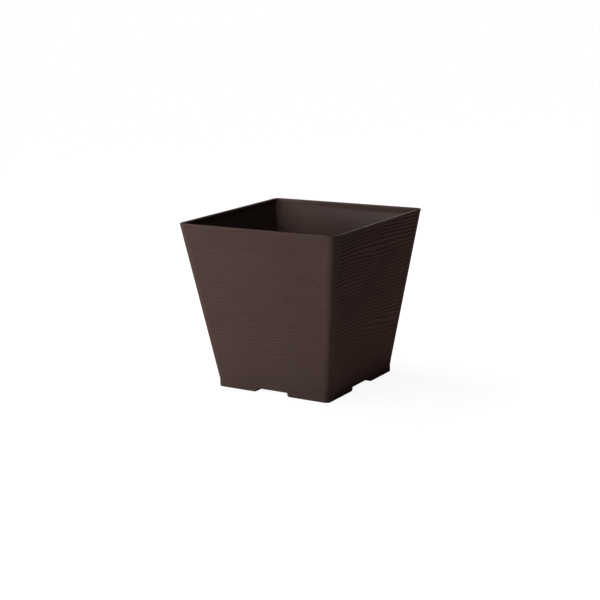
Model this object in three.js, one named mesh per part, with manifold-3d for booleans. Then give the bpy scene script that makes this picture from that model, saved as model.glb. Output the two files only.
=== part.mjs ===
// A square plant pot with leaning walls, moulded in one piece, and the loose slatted grid that
// stands on its floor and keeps the soil off the drain slots.
// Millimetres, +Z up. The origin is the middle of the footprint, on the ground.
// All four sides are alike.

import * as THREE from "three";
import { mergeVertices } from "three/addons/utils/BufferGeometryUtils.js";
import Module from "manifold-3d";

// Outer form of the pot
const rimSide = 300;
const potHeight = 284;
const baseSide = 218;
const skirtHeight = 12.5;
const rimCornerRadius = 11;
const baseCornerRadius = 9;
const baseEdgeRadius = 1.2;

// Walls, rim and floor
const wallThickness = 3;
const floorThickness = 3;
const lipWidth = 5;
const lipHeight = 5;
const lipSlope = 8;
const lipEdgeRadius = 3;
const rimEdgeRadius = 1.6;

// Feet, and the recess under the floor that opens in a notch on each side
const recessHeight = 7;
const notchWidth = 60;
const footWidth = 26;
const footEdgeRadius = 5;
const footTipRadius = 4;
const footInnerRadius = 6;
const soleThickness = 3;
const pocketTipRadius = 3;

// Drain slots in the floor, in pairs that point at the notches, and the hole in its middle
const drainSlotWidth = 8;
const drainSlotLength = 36;
const drainSlotSpacing = 26;
const drainSlotStart = 30;
const drainHoleRadius = 10;

// Loose grid
const seatGap = 0.3;
const gridClearance = 2.5;
const gridThickness = 3;
const gridCornerRadius = 8;
const gridBorder = 9;
const gridSpine = 12;
const gridSlotWidth = 3.5;
const gridSlotRows = 10;
const gridSkirtHeight = 5;
const gridSkirtThickness = 2.5;
const legHeight = 14;
const legTopRadius = 5;
const legFootRadius = 4;
const legPadRadius = 7;
const edgeLegInset = 9;
const cornerLegInset = 33;

// Facets
const cornerSteps = 8;
const edgeSteps = 4;
const slotEndSteps = 3;
const roundSteps = 16;
const cutMargin = 2;

// Values worked out from the sizes above
const rimHalf = rimSide / 2;
const baseHalf = baseSide / 2;
const floorTop = recessHeight + floorThickness;
const wallTop = potHeight - rimEdgeRadius;
const lipInnerHalf = rimHalf - lipWidth;
const footInnerHalf = baseHalf - footWidth;

const manifoldLibrary = await Module();
manifoldLibrary.setup();

// The share of the way up the leaning wall, 0 at the top of the skirt and below it
function leanAt(z) {
  return Math.max(0, (z - skirtHeight) / (wallTop - skirtHeight));
}

// Half the outer side of the pot at a height
function outerHalfAt(z) {
  return THREE.MathUtils.lerp(baseHalf, rimHalf, leanAt(z));
}

// Radius of the pot's outer corners at a height
function outerRadiusAt(z) {
  return THREE.MathUtils.lerp(baseCornerRadius, rimCornerRadius, leanAt(z));
}

// The outline through right-angled corners, anticlockwise, each rounded by its own radius
function roundedOutline(corners) {
  return corners.flatMap(({ x, y, radius }, index) => {
    const corner = new THREE.Vector2(x, y);
    if (!radius) return [corner];
    const before = corners.at(index - 1);
    const after = corners[(index + 1) % corners.length];
    const back = new THREE.Vector2(before.x - x, before.y - y).normalize();
    const ahead = new THREE.Vector2(after.x - x, after.y - y).normalize();
    const centre = corner.clone().addScaledVector(back, radius).addScaledVector(ahead, radius);
    return Array.from({ length: cornerSteps + 1 }, (_, step) => {
      const angle = (step / cornerSteps) * (Math.PI / 2);
      return centre
        .clone()
        .addScaledVector(ahead, -radius * Math.cos(angle))
        .addScaledVector(back, -radius * Math.sin(angle));
    });
  });
}

// A level of a loft: a square with rounded corners
function squareRing(z, half, radius) {
  const corners = [
    { x: half, y: -half, radius },
    { x: half, y: half, radius },
    { x: -half, y: half, radius },
    { x: -half, y: -half, radius },
  ];
  return { z, outline: roundedOutline(corners) };
}

// Places along a quarter round, from the side that it leaves to the face that it meets
function quarterRound(radius) {
  return Array.from({ length: edgeSteps + 1 }, (_, step) => {
    const angle = (step / edgeSteps) * (Math.PI / 2);
    return { along: radius * Math.sin(angle), across: radius * (1 - Math.cos(angle)) };
  });
}

// A closed solid through a stack of outlines with equal numbers of points, lowest first
function loft(rings) {
  const count = rings[0].outline.length;
  const lastRing = (rings.length - 1) * count;
  const places = rings.flatMap(({ z, outline }) => outline.flatMap(({ x, y }) => [x, y, z]));
  const triangles = [];
  for (let first = 0; first < lastRing; first += count) {
    for (let side = 0; side < count; side += 1) {
      const a = first + side;
      const b = first + ((side + 1) % count);
      triangles.push(a, b, b + count, a, b + count, a + count);
    }
  }
  for (const [a, b, c] of THREE.ShapeUtils.triangulateShape(rings[0].outline, [])) {
    triangles.push(a, c, b);
  }
  for (const [a, b, c] of THREE.ShapeUtils.triangulateShape(rings.at(-1).outline, [])) {
    triangles.push(lastRing + a, lastRing + b, lastRing + c);
  }
  const geometry = new THREE.BufferGeometry();
  geometry.setAttribute("position", new THREE.Float32BufferAttribute(places, 3));
  geometry.setIndex(triangles);
  return geometry;
}

// A geometry as a solid that can be joined and cut
function solidOf(geometry) {
  const bare = geometry.clone();
  bare.deleteAttribute("normal");
  bare.deleteAttribute("uv");
  const merged = mergeVertices(bare);
  return new manifoldLibrary.Manifold(
    new manifoldLibrary.Mesh({
      numProp: 3,
      vertProperties: Float32Array.from(merged.attributes.position.array),
      triVerts: Uint32Array.from(merged.index.array),
    }),
  );
}

// A solid back as a flat-shaded geometry
function geometryOf(solid) {
  const mesh = solid.getMesh();
  const geometry = new THREE.BufferGeometry();
  geometry.setAttribute("position", new THREE.BufferAttribute(mesh.vertProperties, 3));
  geometry.setIndex(new THREE.BufferAttribute(mesh.triVerts, 1));
  const faceted = geometry.toNonIndexed();
  faceted.computeVertexNormals();
  return faceted;
}

// An upright slot with round ends, its length along X before it is turned
function slotCutter(length, width, depth) {
  const radius = width / 2;
  const straight = length / 2 - radius;
  const shape = new THREE.Shape();
  shape.absarc(straight, 0, radius, -Math.PI / 2, Math.PI / 2);
  shape.absarc(-straight, 0, radius, Math.PI / 2, (3 * Math.PI) / 2);
  return new THREE.ExtrudeGeometry(shape, {
    depth,
    bevelEnabled: false,
    curveSegments: slotEndSteps,
  });
}

// The pot's outside, filled: rounded foot edge, upright skirt, leaning walls and rounded rim
function outerForm() {
  const footEdge = quarterRound(baseEdgeRadius)
    .reverse()
    .map(({ along, across }) =>
      squareRing(baseEdgeRadius - along, baseHalf - across, baseCornerRadius - across),
    );
  const skirtTop = squareRing(skirtHeight, baseHalf, baseCornerRadius);
  const rimEdge = quarterRound(rimEdgeRadius).map(({ along, across }) =>
    squareRing(wallTop + along, rimHalf - across, rimCornerRadius - across),
  );
  return loft([...footEdge, skirtTop, ...rimEdge]);
}

// The hollow for the soil, from the floor up through the narrower lip, whose inner edge is well
// rounded, and out of the top
function innerForm() {
  const lipBottom = potHeight - lipHeight;
  const slopeBottom = lipBottom - lipSlope;
  const wallLevels = [floorTop, skirtHeight, slopeBottom].map((z) =>
    squareRing(z, outerHalfAt(z) - wallThickness, outerRadiusAt(z) - wallThickness),
  );
  const lipRadius = rimCornerRadius - lipWidth;
  const lipStart = squareRing(lipBottom, lipInnerHalf, lipRadius);
  const roundStart = potHeight - lipEdgeRadius;
  const lipEdge = quarterRound(lipEdgeRadius).map(({ along, across }) =>
    squareRing(roundStart + along, lipInnerHalf + across, lipRadius + across),
  );
  const above = squareRing(
    potHeight + cutMargin,
    lipInnerHalf + lipEdgeRadius,
    lipRadius + lipEdgeRadius,
  );
  return loft([...wallLevels, lipStart, ...lipEdge, above]);
}

// One level of the recess under the floor: a square with an arm out through each notch,
// grown by an amount all round where the feet are rounded away beside it
function recessRing(z, grown) {
  const side = footInnerHalf + grown;
  const arm = notchWidth / 2 + grown;
  const end = baseHalf + cutMargin;
  const corners = [0, 1, 2, 3].flatMap((turn) =>
    [
      { x: end, y: -arm, radius: 0 },
      { x: end, y: arm, radius: 0 },
      { x: side, y: arm, radius: footTipRadius },
      { x: side, y: side, radius: footInnerRadius },
      { x: arm, y: side, radius: footTipRadius },
    ].map(({ x, y, radius }) => {
      const place = new THREE.Vector2(x, y).rotateAround(new THREE.Vector2(), (turn * Math.PI) / 2);
      return { x: place.x, y: place.y, radius };
    }),
  );
  return { z, outline: roundedOutline(corners) };
}

function recessForm() {
  const belowGround = recessRing(-cutMargin, footEdgeRadius);
  const footEdges = quarterRound(footEdgeRadius)
    .reverse()
    .map(({ along, across }) => recessRing(footEdgeRadius - along, across));
  const recessTop = recessRing(recessHeight, 0);
  return loft([belowGround, ...footEdges, recessTop]);
}

// The hollow inside one foot, an L that follows the corner and opens into the pot
function footPocket() {
  const outside = baseHalf - wallThickness;
  const inside = footInnerHalf + wallThickness;
  const tip = notchWidth / 2 + wallThickness;
  const outline = roundedOutline([
    { x: inside, y: tip, radius: pocketTipRadius },
    { x: outside, y: tip, radius: pocketTipRadius },
    { x: outside, y: outside, radius: baseCornerRadius - wallThickness },
    { x: tip, y: outside, radius: pocketTipRadius },
    { x: tip, y: inside, radius: pocketTipRadius },
    { x: inside, y: inside, radius: footInnerRadius - wallThickness },
  ]);
  const pocketTop = (floorTop + skirtHeight) / 2;
  return loft([
    { z: soleThickness, outline },
    { z: pocketTop, outline },
  ]);
}

// The drain slots and the round hole in the floor's middle
function drainCutters() {
  const depth = floorThickness + 2 * cutMargin;
  const bottom = recessHeight - cutMargin;
  const hole = new THREE.CylinderGeometry(drainHoleRadius, drainHoleRadius, depth, roundSteps)
    .rotateX(Math.PI / 2)
    .translate(0, 0, bottom + depth / 2);
  const slots = [0, 1, 2, 3].flatMap((turn) =>
    [-1, 1].map((side) =>
      slotCutter(drainSlotLength, drainSlotWidth, depth)
        .translate(drainSlotStart + drainSlotLength / 2, (side * drainSlotSpacing) / 2, bottom)
        .rotateZ((turn * Math.PI) / 2),
    ),
  );
  return [hole, ...slots];
}

function makePotBody() {
  let body = solidOf(outerForm()).subtract(solidOf(innerForm()));
  body = body.subtract(solidOf(recessForm()));
  for (const turn of [0, 1, 2, 3]) {
    body = body.subtract(solidOf(footPocket().rotateZ((turn * Math.PI) / 2)));
  }
  for (const cutter of drainCutters()) {
    body = body.subtract(solidOf(cutter));
  }
  return geometryOf(body);
}

// The grid's plate with its turned-down edge, its underside at height 0
function gridPlate(half) {
  const outside = loft([
    squareRing(-gridSkirtHeight, half, gridCornerRadius),
    squareRing(gridThickness, half, gridCornerRadius),
  ]);
  const hollowHalf = half - gridSkirtThickness;
  const hollowRadius = gridCornerRadius - gridSkirtThickness;
  const hollow = loft([
    squareRing(-gridSkirtHeight - cutMargin, hollowHalf, hollowRadius),
    squareRing(0, hollowHalf, hollowRadius),
  ]);
  return solidOf(outside).subtract(solidOf(hollow));
}

// Two columns of slots along X beside the middle spine, in rows on both sides of the other spine
function gridSlots(half) {
  const fieldSide = half - gridBorder - gridSpine / 2;
  const pitch = fieldSide / gridSlotRows;
  const depth = gridThickness + 2 * cutMargin;
  const columnPlace = (gridSpine + fieldSide) / 2;
  return [-1, 1].flatMap((column) =>
    [-1, 1].flatMap((side) =>
      Array.from({ length: gridSlotRows }, (_, row) => {
        const rowPlace = gridSpine / 2 + (row + 0.5) * pitch;
        return slotCutter(fieldSide, gridSlotWidth, depth).translate(
          column * columnPlace,
          side * rowPlace,
          -cutMargin,
        );
      }),
    ),
  );
}

// Where the legs stand: between each pair of drain slots, near each edge and near each corner
function legPlaces(half) {
  const edgePlace = half - edgeLegInset;
  const cornerPlace = half - cornerLegInset;
  const onePart = [
    new THREE.Vector2(drainSlotStart + drainSlotLength / 2, 0),
    new THREE.Vector2(edgePlace, 0),
    new THREE.Vector2(cornerPlace, cornerPlace),
  ];
  return [0, 1, 2, 3].flatMap((turn) =>
    onePart.map((place) => place.clone().rotateAround(new THREE.Vector2(), (turn * Math.PI) / 2)),
  );
}

function leg({ x, y }) {
  const overlap = gridThickness / 2;
  const length = legHeight + overlap;
  return new THREE.CylinderGeometry(legTopRadius, legFootRadius, length, roundSteps)
    .rotateX(Math.PI / 2)
    .translate(x, y, overlap - length / 2);
}

function legPad({ x, y }) {
  return new THREE.CylinderGeometry(legPadRadius, legPadRadius, gridThickness, roundSteps)
    .rotateX(Math.PI / 2)
    .translate(x, y, gridThickness / 2);
}

function makeDrainGrid(plateHeight) {
  const half = outerHalfAt(plateHeight - gridSkirtHeight) - wallThickness - gridClearance;
  let grid = gridPlate(half);
  for (const slot of gridSlots(half)) {
    grid = grid.subtract(solidOf(slot));
  }
  for (const place of legPlaces(half)) {
    grid = grid.add(solidOf(legPad(place))).add(solidOf(leg(place)));
  }
  return geometryOf(grid);
}

const potPlastic = new THREE.MeshStandardMaterial({
  color: 0x4a3b37,
  roughness: 0.62,
  metalness: 0,
});
const gridPlastic = new THREE.MeshStandardMaterial({
  color: 0x2b2321,
  roughness: 0.7,
  metalness: 0,
});

const potBody = new THREE.Mesh(makePotBody(), potPlastic);
potBody.name = "pot_body";

const plateHeight = floorTop + seatGap + legHeight;
const drainGrid = new THREE.Mesh(makeDrainGrid(plateHeight), gridPlastic);
drainGrid.name = "drain_grid";
drainGrid.position.z = plateHeight;

const plantPot = new THREE.Group();
plantPot.add(potBody, drainGrid);

export default plantPot;
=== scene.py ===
import math

import bmesh
import bpy
import numpy as np
from mathutils import Matrix, Vector
from mathutils.kdtree import KDTree


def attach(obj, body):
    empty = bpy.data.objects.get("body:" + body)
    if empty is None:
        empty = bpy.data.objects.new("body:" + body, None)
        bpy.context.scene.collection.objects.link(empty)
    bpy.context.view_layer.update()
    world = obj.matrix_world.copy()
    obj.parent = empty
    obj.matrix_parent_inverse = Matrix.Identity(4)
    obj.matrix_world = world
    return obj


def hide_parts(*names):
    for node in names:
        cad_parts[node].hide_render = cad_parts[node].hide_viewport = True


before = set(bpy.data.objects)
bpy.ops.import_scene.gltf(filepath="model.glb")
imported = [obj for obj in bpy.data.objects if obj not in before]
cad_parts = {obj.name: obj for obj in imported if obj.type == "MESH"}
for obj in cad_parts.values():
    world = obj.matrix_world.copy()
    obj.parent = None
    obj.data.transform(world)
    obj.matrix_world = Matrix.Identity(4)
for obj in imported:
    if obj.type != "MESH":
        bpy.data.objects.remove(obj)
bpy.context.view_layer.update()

MM = 0.001

# The pot's outer walls, in millimetres, as the frame has them
RIM_HALF = 150.0
BASE_HALF = 109.0
RIM_CORNER = 11.0
BASE_CORNER = 9.0
SKIRT_TOP = 12.5
WALL_TOP = 282.4
CORNER_STEPS = 8

# What counts as the smooth inside: how far in from the outer wall it starts, and its heights
INSIDE_FROM = 2.0
UNDERSIDE = 8.0
LIP_EDGE = 281.5

# The clear gloss: its strength on the inside and on the rim, the height where the rim's starts and
# over how far it grows, its roughness, and how far from the inner corners it reaches full strength
INSIDE_GLOSS = 0.1
RIM_GLOSS = 0.1
RIM_TOP_FROM = 283.0
RIM_TOP_FADE = 0.5
GLOSS_ROUGHNESS = 0.2
GLOSS_CORNER = 30.0

# The grid of points that carries the wood grain of the walls
COLUMNS = 56
ROWS = 320

# How far the columns crowd towards the corners, from 0 for even spacing to 1
CROWDING = 0.6

# Wood grain: ridges that run level round the pot, with grooves cut into the wall between them. These
# are their spacing, the depth of the grooves and of the fine lines on the ridges, how many fine lines
# there are to a ridge, and over how far the grain dies away at the rim and at the skirt
GRAIN_PITCH = 6.4
GROOVE_DEPTH = 1.5
FINE_DEPTH = 0.07
FINE_COUNT = 2.3
RIM_FADE = 4.5
SKIRT_FADE = 9.0

# The depth varies along a groove: its middle and how far it goes either way, as shares of the full
# depth, the length that it varies over, and how far the noise moves on from one groove to the next.
# The fine lines vary over a length of their own
RIDGE_MIDDLE = 0.82
RIDGE_CHANGE = 0.18
RIDGE_LENGTH = 26
RIDGE_STEP = 0.8
FINE_LENGTH = 30

# The long swing of the ridges fades with height: its middle and its change, as shares, and how fast
SWING_MIDDLE = 0.55
SWING_CHANGE = 0.45
SWING_HEIGHT = 95

# The ridges also wander: by how many millimetres, over what length along and up the wall, and from
# which place in the noise, along and up
WANDER = [(2.4, 85, 48, 9, 5), (0.9, 34, 17, 3, 8)]

# How strongly an eye of the grain pushes the ridges apart, for an eye of strength 1
EYE_PUSH = 1.65

# The grain gets shallower towards the base: its share of the depth there, and how far up the wall,
# as a share of the wall, it is at its full depth
BASE_SHARE = 0.4
FULL_FROM = 0.35

# Distances from the middle of a corner's bend: where the grain starts, and over how far it grows
PLAIN_CORNER = 11.0
CORNER_FADE = 6.0

# The corner's bend eases into the walls: how deep the easing cuts, where it is deepest and its end
EASE_DEPTH = 0.55
EASE_PEAK = 5.5
EASE_END = 14.5

# How the grain flows on each wall, in the order +X, +Y, -X, -Y: a long swing along the wall, and
# eyes, each as its place along and up the wall, its half length, its half height and its strength
WALL_GRAIN = [
    {"crest": -103, "swing": 12, "length": 560, "seed": 12,
     "eyes": [(19, 242, 90, 16, 3.8), (-83, 194, 33, 16, 2.2), (78, 209, 37, 16, 1.2),
              (48, 137, 36, 16, 2.1), (56, 101, 74, 16, 5.5)]},
    {"crest": 40, "swing": 4.6, "length": 380, "seed": 23,
     "eyes": [(-70, 222, 48, 11, 3.8), (38, 168, 50, 12, 4.0), (-20, 96, 44, 11, 3.2)]},
    {"crest": -20, "swing": 5.0, "length": 350, "seed": 37,
     "eyes": [(54, 236, 46, 10, 3.9), (-58, 176, 50, 12, 3.8), (22, 112, 44, 11, 3.4),
              (-10, 52, 34, 10, 2.6)]},
    {"crest": 70, "swing": 4.8, "length": 360, "seed": 53,
     "eyes": [(-46, 232, 54, 12, 4.0), (64, 184, 44, 10, 3.6), (-18, 124, 50, 12, 3.6),
              (40, 66, 36, 10, 2.8)]},
]

# Edges: how near points are joined, the angle under which faces lie in one plane, the angle from
# which an edge stays sharp, and the grid's rounding and the angle from which an edge gets it.
# Distances are in millimetres, angles in degrees
JOIN_DISTANCE = 0.01
FLAT_ANGLE = 0.3
SHARP_ANGLE = 32
ROUNDING = 0.4
ROUNDED_ANGLE = 50

# The frame's plain walls end within this many millimetres of the skirt and the rim, and the straight
# edges that they leave open are longer than this
WALL_SLACK = 0.1
WALL_EDGE = 20

# The plastic: sizes in millimetres of its cloudy colour, speckle, patches of roughness, fine skin and
# streaks along the grain, with how far the streaks are drawn out
CLOUD_SIZE = 55
SPECKLE_SIZE = 0.7
PATCH_SIZE = 9
SKIN_SIZE = 0.5
STREAK_SIZE = 1.1
STREAK_STRETCH = (22, 22, 1)

# Shares of cloud and speckle in the colour, the part of the noise that runs from dark to light, how
# far the roughness goes either way, and the strength and depth in millimetres of skin and streaks
CLOUD_SHARE = 0.7
SPECKLE_SHARE = 0.3
COLOUR_RANGE = (0.35, 0.65)
ROUGHNESS_SPREAD = 0.07
SKIN_BUMP = (0.35, 0.03)
STREAK_BUMP = (0.6, 0.12)

# Camera, solved from the photograph's outline
CAMERA_AZIMUTH = 0.5622
CAMERA_ELEVATION = 0.2284
CAMERA_ROLL = -0.0242
CAMERA_DISTANCE = 2.253
CAMERA_AIM_HEIGHT = 0.142
CAMERA_OFFSET = (0.00768, 0.003645)
CAMERA_LENS = 79.404
CAMERA_SENSOR = 36

# The floor: how far it reaches, how far under the pot it lies, its paper's whiteness, how uneven that
# is and over what size in millimetres, how much of the floor's shading the eye is shown, how dark the
# pot's shadow gets, and from which distance to which it fades out. Other distances are in metres
FLOOR_REACH = 40.0
FLOOR_DROP = 0.00005
FLOOR_ALBEDO = 0.88
FLOOR_UNEVEN = 0.01
PAPER_SIZE = 30
SEEN_SHARE = 0.22
SHADOW_DEPTH = 0.07
SHADE_REACH = (0.25, 0.8)

# The floor is dark under the pot's middle and gets its white back between these distances from it,
# in metres along X or Y, whichever is the larger
UNDER_POT = (0.071, 0.083)

# Colours of light. WARM stands for light that reaches the pot by way of the floor, and RIM_WARM is
# for the light line along the rim
WHITE = (1, 1, 1)
WARM = (1, 0.68, 0.6)
RIM_WARM = (1, 0.82, 0.75)

# What most lamps face, and the widest spread of a lamp's light
POT_MIDDLE = (0, 0, 0.14)
WIDE = 180

# Each lamp's name, azimuth, elevation, distance from its target, size, power in watts, colour, target
# and spread, in degrees and metres. The two floor lamps lie just over the floor and face up
LAMPS = [
    ("inside_left", -2, 28, 1.2, (0.12, 0.12), 0.018, WHITE, (-0.125, 0.14, 0.272), 10),
    ("left_high", -100, 55, 1.6, (0.8, 0.8), 16.5, WHITE, POT_MIDDLE, WIDE),
    ("front_high", -20, 17, 1.6, (0.5, 0.4), 5.4, WHITE, POT_MIDDLE, WIDE),
    ("front_low", -52, 9, 1.6, (0.8, 0.3), 8.9, WHITE, POT_MIDDLE, WIDE),
    ("front_mid", 0, 17, 1.6, (0.3, 0.3), 1.0, WHITE, POT_MIDDLE, WIDE),
    ("front_near", -38, 30, 0.9, (0.6, 0.6), 2.4, WHITE, POT_MIDDLE, WIDE),
    ("overhead", 0, 89, 1.5, (0.6, 0.6), 2.5, WHITE, POT_MIDDLE, WIDE),
    ("floor_right", 0, -90, 0.299, (0.2, 0.9), 0.2, WARM, (0.24, 0, 0.3), WIDE),
    ("floor_back", 0, -90, 0.299, (0.7, 0.65), 1.2, WARM, (0.55, 0.575, 0.3), WIDE),
    ("rim_light", -173, 34, 1.6, (0.5, 0.5), 8, RIM_WARM, POT_MIDDLE, WIDE),
]


def smooth_noise(along, up, seed):
    """Smooth noise from -1 to 1 over two coordinates whose lattice step is 1."""
    size = 97
    lattice = np.random.default_rng(seed).uniform(-1, 1, (size, size))
    cell_a = np.floor(along).astype(int)
    cell_u = np.floor(up).astype(int)
    part_a = along - cell_a
    part_u = up - cell_u
    ease_a = part_a * part_a * (3 - 2 * part_a)
    ease_u = part_u * part_u * (3 - 2 * part_u)
    left, right = cell_a % size, (cell_a + 1) % size
    below, above = cell_u % size, (cell_u + 1) % size
    near = lattice[left, below] * (1 - ease_a) + lattice[right, below] * ease_a
    far = lattice[left, above] * (1 - ease_a) + lattice[right, above] * ease_a
    return near * (1 - ease_u) + far * ease_u


def fade(distance, width):
    """From 0 at no distance to 1 at the width, with soft ends."""
    share = np.clip(distance / width, 0, 1)
    return share * share * (3 - 2 * share)


def grain_depth(wall, along, up):
    """How deep the grain is cut at a place on a wall, in millimetres."""
    flow = WALL_GRAIN[wall]
    seed = flow["seed"]
    turn = 2 * math.pi * (along - flow["crest"]) / flow["length"]
    swing = SWING_MIDDLE + SWING_CHANGE * np.cos(up / SWING_HEIGHT)
    line = up - flow["swing"] * np.cos(turn) * swing
    for number, (amount, length, rise, from_along, from_up) in enumerate(WANDER):
        wander = smooth_noise(along / length + from_along, up / rise + from_up, seed + number)
        line = line + amount * wander
    for place, height, half_length, half_height, strength in flow["eyes"]:
        reach = np.exp(-(((along - place) / half_length) ** 2))
        offset = (up - height) / half_height
        line = line - strength * EYE_PUSH * reach * offset * np.exp(-offset * offset / 2)
    count = line / GRAIN_PITCH
    # The numbers added to the places below only pick a part of the noise
    varied = smooth_noise(along / RIDGE_LENGTH + 5, count * RIDGE_STEP + 40, seed + 2)
    strength = RIDGE_MIDDLE + RIDGE_CHANGE * varied
    ridge = 0.5 - 0.5 * np.cos(2 * math.pi * count)
    shift = smooth_noise(along / FINE_LENGTH, count + 30, seed + 3)
    fine = 0.5 - 0.5 * np.cos(2 * math.pi * (count * FINE_COUNT + shift))
    return GROOVE_DEPTH * strength * ridge + FINE_DEPTH * fine * (1 - ridge)


def column_shares(crowding):
    """The places of the columns along a wall, from -1 to 1, closer together towards its ends."""
    even = np.linspace(-1, 1, COLUMNS + 1)
    return even * (1 - crowding) + np.sin(even * math.pi / 2) * crowding


def ring_places(half, radius, crowding=CROWDING):
    """Points round one level of the wall, anticlockwise from the +X wall's -Y end, with normals."""
    places = []
    normals = []
    straight = half - radius
    for wall in range(4):
        angle = wall * math.pi / 2
        out = np.array([math.cos(angle), math.sin(angle)])
        side = np.array([-math.sin(angle), math.cos(angle)])
        for along in column_shares(crowding) * straight:
            places.append(out * half + side * along)
            normals.append(out)
        centre = (out + side) * straight
        for step in range(1, CORNER_STEPS):
            turn = step / CORNER_STEPS * math.pi / 2
            normal = out * math.cos(turn) + side * math.sin(turn)
            places.append(centre + normal * radius)
            normals.append(normal)
    return np.array(places), np.array(normals)


def ring_walls(half, radius):
    """For each point round a level: the wall whose grain it carries, its distance along that wall
    from the wall's middle, and its distance from the middle of the nearest corner round."""
    walls = []
    distances = []
    from_corner = []
    straight = half - radius
    quarter = radius * math.pi / 4
    for wall in range(4):
        for along in column_shares(CROWDING) * straight:
            walls.append(wall)
            distances.append(along)
            from_corner.append(straight - abs(along) + quarter)
        for step in range(1, CORNER_STEPS):
            arc = step / CORNER_STEPS * radius * math.pi / 2
            if step <= CORNER_STEPS / 2:
                walls.append(wall)
                distances.append(straight + arc)
                from_corner.append(quarter - arc)
            else:
                back = radius * math.pi / 2 - arc
                walls.append((wall + 1) % 4)
                distances.append(-straight - back)
                from_corner.append(quarter - back)
    return np.array(walls), np.array(distances), np.array(from_corner)


def wall_points():
    """The places of the grained walls as rows of points, and how much grain each point carries."""
    low, low_normals = ring_places(BASE_HALF, BASE_CORNER)
    high, _ = ring_places(RIM_HALF, RIM_CORNER)
    walls, low_along, low_corner = ring_walls(BASE_HALF, BASE_CORNER)
    _, high_along, high_corner = ring_walls(RIM_HALF, RIM_CORNER)
    lean = math.atan2(RIM_HALF - BASE_HALF, WALL_TOP - SKIRT_TOP)
    inward = np.column_stack([-low_normals * math.cos(lean), np.full(len(low), math.sin(lean))])
    rows = []
    shares = []
    for row in range(ROWS + 1):
        share = row / ROWS
        height = SKIRT_TOP + (WALL_TOP - SKIRT_TOP) * share
        flat = low * (1 - share) + high * share
        along = low_along * (1 - share) + high_along * share
        corner = low_corner * (1 - share) + high_corner * share
        depth = np.zeros(len(low))
        for wall in range(4):
            here = walls == wall
            depth[here] = grain_depth(wall, along[here], np.full(here.sum(), height))
        ends = fade(WALL_TOP - height, RIM_FADE) * fade(height - SKIRT_TOP, SKIRT_FADE)
        deep = BASE_SHARE + (1 - BASE_SHARE) * fade(share, FULL_FROM)
        keep = fade(corner - PLAIN_CORNER, CORNER_FADE) * ends * deep
        eased = fade(corner, EASE_PEAK) * (1 - fade(corner - EASE_PEAK, EASE_END - EASE_PEAK)) * ends
        places = np.column_stack([flat, np.full(len(low), height)])
        rows.append(places + inward * (depth * keep + EASE_DEPTH * eased)[:, None])
        shares.append(keep)
    return np.array(rows), np.array(shares)


def make_object(name, mesh, body, slot, *replaced):
    """A piece that rides on a body, in place of nodes of the frame. The slot argument is not used."""
    piece = bpy.data.objects.new(name, mesh)
    bpy.context.scene.collection.objects.link(piece)
    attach(piece, body)
    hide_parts(*replaced)
    return piece


def shade(piece):
    """Smooth shading that keeps flat faces flat and the sharp edges sharp."""
    for face in piece.data.polygons:
        face.use_smooth = True
    piece.data.set_sharp_from_angle(angle=math.radians(SHARP_ANGLE))
    weighted = piece.modifiers.new("even_normals", "WEIGHTED_NORMAL")
    weighted.keep_sharp = True


def merged_copy(node):
    """A working copy of a frame node's mesh, with its points joined."""
    work = bmesh.new()
    work.from_mesh(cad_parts[node].data)
    bmesh.ops.remove_doubles(work, verts=work.verts, dist=JOIN_DISTANCE * MM)
    return work


def simplify(work):
    """Joins the triangles that lie in one plane."""
    bmesh.ops.dissolve_limit(work, angle_limit=math.radians(FLAT_ANGLE), verts=work.verts,
                             edges=work.edges)


def inside_share(x, y, z):
    """1 on the smooth inner walls and floor, 0 on the rim's top and everywhere outside, in mm."""
    half = BASE_HALF + (RIM_HALF - BASE_HALF) * (z - SKIRT_TOP) / (WALL_TOP - SKIRT_TOP)
    depth = half - max(abs(x), abs(y))
    return float(depth > INSIDE_FROM and UNDERSIDE < z < LIP_EDGE)


def gloss_at(x, y, z):
    """The strength of the clear gloss, which lies on the smooth inside and the top of the rim."""
    rim = fade(z - RIM_TOP_FROM, RIM_TOP_FADE)
    return max(inside_share(x, y, z) * INSIDE_GLOSS, rim * RIM_GLOSS)


def spans(face, low, high):
    """Whether a face reaches from below one height to above another."""
    heights = [point.co.z for point in face.verts]
    return min(heights) < low and max(heights) > high


def pot_without_walls():
    """The frame's pot with its four leaning walls taken out: its points, its faces as lists of point
    numbers, and a tree that finds the points along the opening. The straight edges of the opening
    are cut into as many parts as the walls have columns."""
    work = merged_copy("pot_body")
    low = (SKIRT_TOP + WALL_SLACK) * MM
    high = (WALL_TOP - WALL_SLACK) * MM
    bmesh.ops.delete(work, geom=[f for f in work.faces if spans(f, low, high)], context="FACES_ONLY")
    bmesh.ops.delete(work, geom=[e for e in work.edges if not e.link_faces], context="EDGES")
    simplify(work)
    straight = [e for e in work.edges if e.is_boundary and e.calc_length() > WALL_EDGE * MM]
    bmesh.ops.subdivide_edges(work, edges=straight, cuts=COLUMNS - 1)
    work.verts.index_update()
    border = {v.index: v.co.copy() for e in work.edges if e.is_boundary for v in e.verts}
    nearest = KDTree(len(border))
    for index, place in border.items():
        nearest.insert(place, index)
    nearest.balance()
    places = [tuple(v.co) for v in work.verts]
    faces = [[v.index for v in f.verts] for f in work.faces]
    work.free()
    return places, faces, nearest


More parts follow.
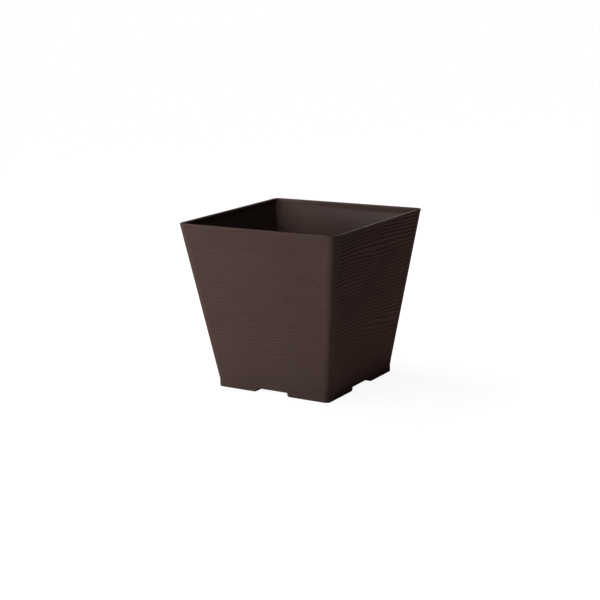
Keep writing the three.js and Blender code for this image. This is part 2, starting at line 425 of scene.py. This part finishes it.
def add_walls(places, faces, nearest):
    """Closes the opening with the grained walls. Their first and last rows are the opening's own
    points. Returns how much grain each point of the whole pot carries."""
    rows, shares = wall_points()
    around = rows.shape[1]
    numbers = np.zeros(rows.shape[:2], dtype=int)
    grain = [0.0] * len(places)
    edges = ((0, BASE_HALF, BASE_CORNER, SKIRT_TOP), (ROWS, RIM_HALF, RIM_CORNER, WALL_TOP))
    for row, half, radius, height in edges:
        even, _ = ring_places(half, radius, 0)
        for column, (x, y) in enumerate(even):
            _, number, _ = nearest.find(Vector((x, y, height)) * MM)
            numbers[row, column] = number
            places[number] = tuple(rows[row, column] * MM)
    for row in range(1, ROWS):
        for column in range(around):
            numbers[row, column] = len(places)
            places.append(tuple(rows[row, column] * MM))
            grain.append(float(shares[row, column]))
    for row in range(ROWS):
        for column in range(around):
            beside = (column + 1) % around
            faces.append([numbers[row, column], numbers[row, beside],
                          numbers[row + 1, beside], numbers[row + 1, column]])
    return grain


def make_pot_shell():
    """The pot's moulding: the frame's solid with its four leaning walls carved with wood grain."""
    places, faces, nearest = pot_without_walls()
    plain_count = len(places)
    grain = add_walls(places, faces, nearest)
    gloss = [gloss_at(*(Vector(place) / MM)) for place in places[:plain_count]]
    gloss = gloss + [0.0] * (len(places) - plain_count)
    mesh = bpy.data.meshes.new("pot_shell")
    mesh.from_pydata(places, [], faces)
    for name, values in (("grain", grain), ("gloss", gloss)):
        mesh.attributes.new(name, "FLOAT", "POINT").data.foreach_set("value", values)
    mesh.update()
    piece = make_object("pot_shell", mesh, "pot", "pot_plastic", "pot_body")
    shade(piece)
    return piece


def make_grid_shell():
    """The loose grid, with its moulded edges softened."""
    work = merged_copy("drain_grid")
    simplify(work)
    least = math.radians(ROUNDED_ANGLE)
    edges = [e for e in work.edges if e.is_manifold and e.calc_face_angle() > least]
    bmesh.ops.bevel(work, geom=edges, offset=ROUNDING * MM, segments=2, profile=0.5,
                    affect="EDGES", clamp_overlap=True)
    mesh = bpy.data.meshes.new("grid_shell")
    work.to_mesh(mesh)
    work.free()
    piece = make_object("grid_shell", mesh, "grid", "grid_plastic", "drain_grid")
    shade(piece)
    return piece


def new_material(name):
    """An empty node material and its tree."""
    material = bpy.data.materials.new(name)
    material.use_nodes = True
    material.node_tree.nodes.clear()
    return material, material.node_tree


def add(tree, kind, settings=(), inputs=(), **links):
    """A node with its settings, its input values by name or number, and its links from sockets."""
    node = tree.nodes.new(kind)
    for key, value in dict(settings).items():
        setattr(node, key, value)
    for key, value in dict(inputs).items():
        node.inputs[key].default_value = value
    for key, socket in links.items():
        tree.links.new(socket, node.inputs[key.replace("_", " ")])
    return node


def maths(tree, operation, first, second=0.0):
    """The result of one operation on one or two numbers or sockets."""
    node = tree.nodes.new("ShaderNodeMath")
    node.operation = operation
    for slot, value in enumerate((first, second)):
        if isinstance(value, (int, float)):
            node.inputs[slot].default_value = value
        else:
            tree.links.new(value, node.inputs[slot])
    return node.outputs[0]


def noise(tree, coordinates, size, detail=2.0, stretch=(1, 1, 1)):
    """Noise with features of a size in millimetres, drawn out along an axis by the stretch."""
    scaled = add(tree, "ShaderNodeVectorMath", {"operation": "MULTIPLY"}, {1: [1 / s for s in stretch]})
    tree.links.new(coordinates, scaled.inputs[0])
    node = add(tree, "ShaderNodeTexNoise", inputs={"Scale": 1 / (size * MM), "Detail": detail},
               Vector=scaled.outputs[0])
    return node.outputs["Fac"]


def spread(tree, value, middle, reach):
    """A value from 0 to 1 spread out to both sides of a middle."""
    return add(tree, "ShaderNodeMapRange", inputs={"To Min": middle - reach, "To Max": middle + reach},
               Value=value).outputs[0]


def soft_range(tree, value, start, end, first=0.0, last=1.0):
    """From a first number to a last, with soft ends, as the value goes from start to end."""
    return add(tree, "ShaderNodeMapRange", {"interpolation_type": "SMOOTHSTEP"},
               {"From Min": start, "From Max": end, "To Min": first, "To Max": last},
               Value=value).outputs[0]


def from_middle(tree, coordinates):
    """How far a place is from the pot's middle, along X and along Y."""
    sides = add(tree, "ShaderNodeSeparateXYZ", Vector=coordinates).outputs
    return [maths(tree, "ABSOLUTE", sides[axis]) for axis in "XY"]


def plastic(name, dark, light, roughness, specular, glossed=False):
    """Matt moulded plastic: a little cloudiness, fine speckle, uneven roughness and a fine skin.
    Where it is glossed, a clear gloss lies on the parts that the mesh marks for it."""
    material, tree = new_material(name)
    coordinates = add(tree, "ShaderNodeTexCoord").outputs["Object"]
    cloud = maths(tree, "MULTIPLY", noise(tree, coordinates, CLOUD_SIZE, detail=3), CLOUD_SHARE)
    speckle = maths(tree, "MULTIPLY", noise(tree, coordinates, SPECKLE_SIZE), SPECKLE_SHARE)
    ramp = add(tree, "ShaderNodeValToRGB", Fac=maths(tree, "ADD", cloud, speckle))
    for stop, place, colour in zip(ramp.color_ramp.elements, COLOUR_RANGE, (dark, light)):
        stop.position = place
        stop.color = (*colour, 1)
    patches = noise(tree, coordinates, PATCH_SIZE, detail=3)
    rough = spread(tree, patches, roughness, ROUGHNESS_SPREAD)
    strength, depth = SKIN_BUMP
    skin = add(tree, "ShaderNodeBump", inputs={"Strength": strength, "Distance": depth * MM},
               Height=noise(tree, coordinates, SKIN_SIZE, detail=3))
    grain = add(tree, "ShaderNodeAttribute", {"attribute_name": "grain"}).outputs["Fac"]
    streaks = noise(tree, coordinates, STREAK_SIZE, detail=3, stretch=STREAK_STRETCH)
    strength, depth = STREAK_BUMP
    lines = add(tree, "ShaderNodeBump", inputs={"Strength": strength, "Distance": depth * MM},
                Height=maths(tree, "MULTIPLY", streaks, grain), Normal=skin.outputs[0])
    surface = add(tree, "ShaderNodeBsdfPrincipled", inputs={"Specular IOR Level": specular},
                  Base_Color=ramp.outputs[0], Roughness=rough, Normal=lines.outputs[0])
    if glossed:
        gloss = add(tree, "ShaderNodeAttribute", {"attribute_name": "gloss"}).outputs["Fac"]
        from_corner = maths(tree, "ABSOLUTE", maths(tree, "SUBTRACT", *from_middle(tree, coordinates)))
        clear = soft_range(tree, from_corner, 0.0, GLOSS_CORNER * MM)
        gloss = maths(tree, "MULTIPLY", gloss, clear)
        surface.inputs["Coat Roughness"].default_value = GLOSS_ROUGHNESS
        tree.links.new(gloss, surface.inputs["Coat Weight"])
        tree.links.new(skin.outputs[0], surface.inputs["Coat Normal"])
    add(tree, "ShaderNodeOutputMaterial", Surface=surface.outputs[0])
    return material


def seen_directly(tree):
    """1 for rays from the camera and those that show the surroundings in gloss or through glass."""
    path = add(tree, "ShaderNodeLightPath").outputs
    either = maths(tree, "MAXIMUM", path["Is Camera Ray"], path["Is Glossy Ray"])
    return maths(tree, "MAXIMUM", either, path["Is Transmission Ray"])


def make_world():
    """White surroundings for the eye, gloss and glass, which add nothing to the lamps' light."""
    world = bpy.data.worlds.new("studio")
    bpy.context.scene.world = world
    world.use_nodes = True
    tree = world.node_tree
    tree.nodes.clear()
    background = add(tree, "ShaderNodeBackground", inputs={"Color": (*WHITE, 1)},
                     Strength=seen_directly(tree))
    add(tree, "ShaderNodeOutputWorld", Surface=background.outputs[0])


def make_floor():
    """A pale floor that shows white, and darker only near and under the pot."""
    mesh = bpy.data.meshes.new("floor")
    corners = [(x * FLOOR_REACH, y * FLOOR_REACH, 0) for x, y in ((-1, -1), (1, -1), (1, 1), (-1, 1))]
    mesh.from_pydata(corners, [], [(0, 1, 2, 3)])
    floor = bpy.data.objects.new("floor", mesh)
    floor.location.z = -FLOOR_DROP
    bpy.context.scene.collection.objects.link(floor)
    material, tree = new_material("floor_paper")
    coordinates = add(tree, "ShaderNodeTexCoord").outputs["Object"]
    paper = spread(tree, noise(tree, coordinates, PAPER_SIZE), FLOOR_ALBEDO, FLOOR_UNEVEN)
    seen = seen_directly(tree)
    hidden = maths(tree, "MULTIPLY", seen, 1 - SEEN_SHARE)
    shaded = maths(tree, "MULTIPLY", paper, maths(tree, "SUBTRACT", 1.0, hidden))
    diffuse = add(tree, "ShaderNodeBsdfDiffuse", Color=shaded)
    away = add(tree, "ShaderNodeVectorMath", {"operation": "LENGTH"}).outputs["Value"]
    tree.links.new(coordinates, away.node.inputs[0])
    near = soft_range(tree, away, *SHADE_REACH, SHADOW_DEPTH, 0.0)
    out = maths(tree, "MAXIMUM", *from_middle(tree, coordinates))
    open_air = soft_range(tree, out, *UNDER_POT)
    white = maths(tree, "MULTIPLY", seen, maths(tree, "SUBTRACT", 1.0, near))
    white = maths(tree, "MULTIPLY", white, open_air)
    glow = add(tree, "ShaderNodeEmission", inputs={"Color": (*WHITE, 1)}, Strength=white)
    both = tree.nodes.new("ShaderNodeAddShader")
    tree.links.new(diffuse.outputs[0], both.inputs[0])
    tree.links.new(glow.outputs[0], both.inputs[1])
    add(tree, "ShaderNodeOutputMaterial", Surface=both.outputs[0])
    mesh.materials.append(material)


def direction(azimuth, elevation):
    """The way to a place seen at an azimuth, counted from -Y towards +X, and an elevation."""
    level = math.cos(elevation)
    return Vector((math.sin(azimuth) * level, -math.cos(azimuth) * level, math.sin(elevation)))


def make_camera():
    """The photograph's camera."""
    data = bpy.data.cameras.new("camera")
    data.lens = CAMERA_LENS
    data.sensor_width = CAMERA_SENSOR
    camera = bpy.data.objects.new("camera", data)
    bpy.context.scene.collection.objects.link(camera)
    back = direction(CAMERA_AZIMUTH, CAMERA_ELEVATION)
    right = (-back).cross(Vector((0, 0, 1))).normalized()
    up = right.cross(-back)
    turned = Matrix.Rotation(CAMERA_ROLL, 3, back)
    right = turned @ right
    up = turned @ up
    place = Vector((0, 0, CAMERA_AIM_HEIGHT)) + back * CAMERA_DISTANCE
    place = place - right * CAMERA_OFFSET[0] - up * CAMERA_OFFSET[1]
    axes = Matrix((right, up, back)).transposed()
    camera.matrix_world = Matrix.Translation(place) @ axes.to_4x4()
    bpy.context.scene.camera = camera


def add_lamp(name, azimuth, elevation, distance, size, power, colour, target, beam):
    """A soft lamp that faces a target, from a direction in degrees, its angles as the camera's."""
    data = bpy.data.lights.new(name, "AREA")
    data.shape = "RECTANGLE"
    data.size, data.size_y = size
    data.energy = power
    data.color = colour
    data.spread = math.radians(beam)
    lamp = bpy.data.objects.new(name, data)
    bpy.context.scene.collection.objects.link(lamp)
    back = direction(math.radians(azimuth), math.radians(elevation))
    lamp.location = Vector(target) + back * distance
    lamp.rotation_mode = "QUATERNION"
    lamp.rotation_quaternion = back.to_track_quat("Z", "Y")
    lamp.visible_camera = False
    return lamp


make_camera()
pot_shell = make_pot_shell()
grid_shell = make_grid_shell()
pot_plastic = plastic("pot_plastic_skin", dark=(0.0675, 0.0432, 0.0385), light=(0.0725, 0.0464, 0.0413),
                      roughness=0.62, specular=0.004, glossed=True)
grid_plastic = plastic("grid_plastic_skin", dark=(0.022, 0.0155, 0.0138), light=(0.026, 0.0185, 0.0165),
                       roughness=0.68, specular=0.004)
pot_shell.data.materials.append(pot_plastic)
grid_shell.data.materials.append(grid_plastic)

make_world()
make_floor()
lamps = {entry[0]: add_lamp(*entry) for entry in LAMPS}

# The rim's lamp shows in gloss alone, and two others light the pot without showing in its gloss
lamps["rim_light"].visible_diffuse = False
lamps["left_high"].visible_glossy = False
lamps["overhead"].visible_glossy = False

bpy.context.scene.view_settings.view_transform = "Standard"
